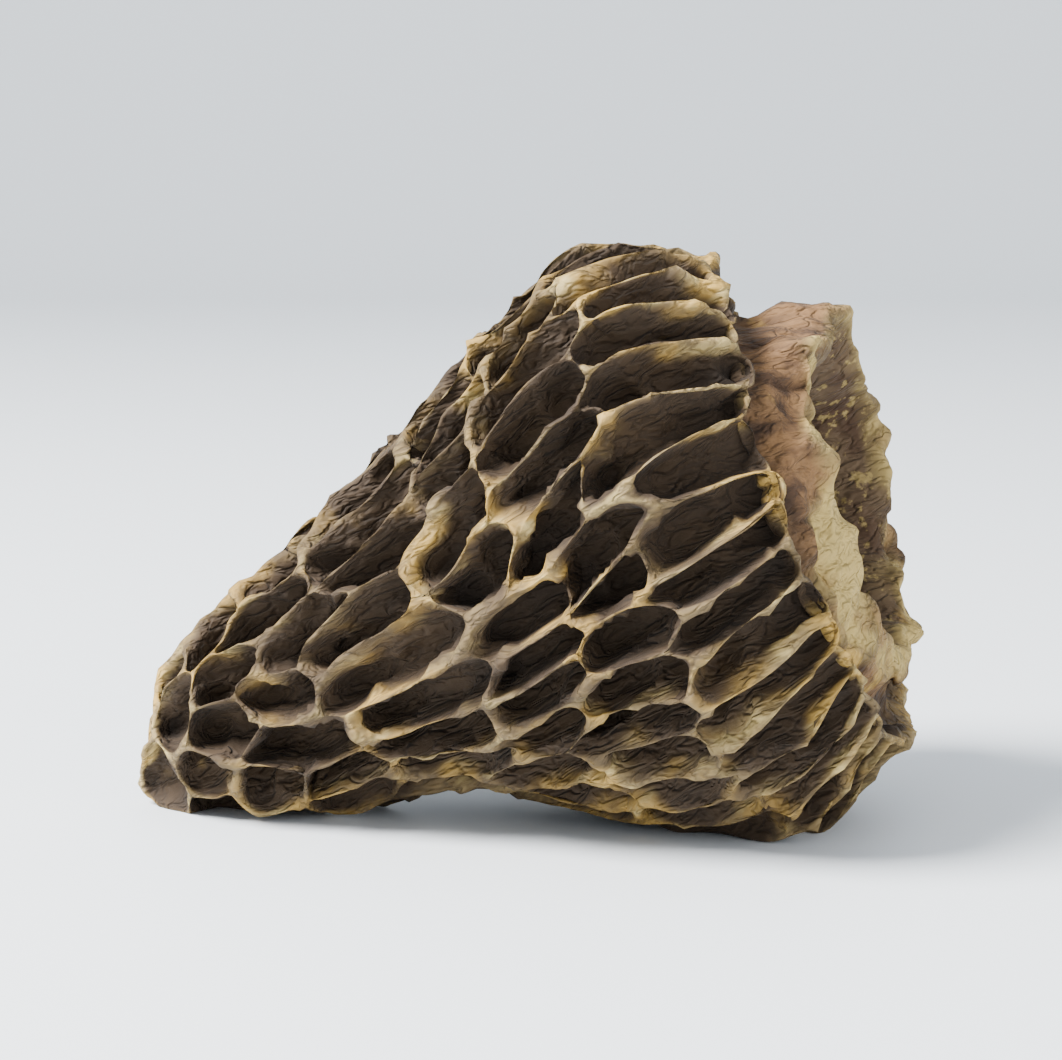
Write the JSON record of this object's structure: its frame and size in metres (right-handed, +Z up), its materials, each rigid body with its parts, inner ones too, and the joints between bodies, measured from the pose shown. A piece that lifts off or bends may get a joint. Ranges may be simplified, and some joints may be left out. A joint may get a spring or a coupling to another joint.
{
  "type": "dried morel mushroom head",
  "caption": "Dried morel mushroom head lying on its side: a hollow cone with a raised net of ridges round dark pits, cut off just under its rim.",
  "frame": {"origin": "middle of the footprint, on the surface that the head lies on", "axes": "+Z up, +X from the tip of the cap towards the open mouth, +Y across the head"},
  "size_m": [0.0236, 0.0174, 0.0172],
  "materials": {
    "dried_flesh": "dry and matt, wrinkled; dark brown pits, paler tan ridges, tan stub"
  },
  "bodies": {
    "root": {"morel_head": "dried_flesh"}
  },
  "joints": []
}
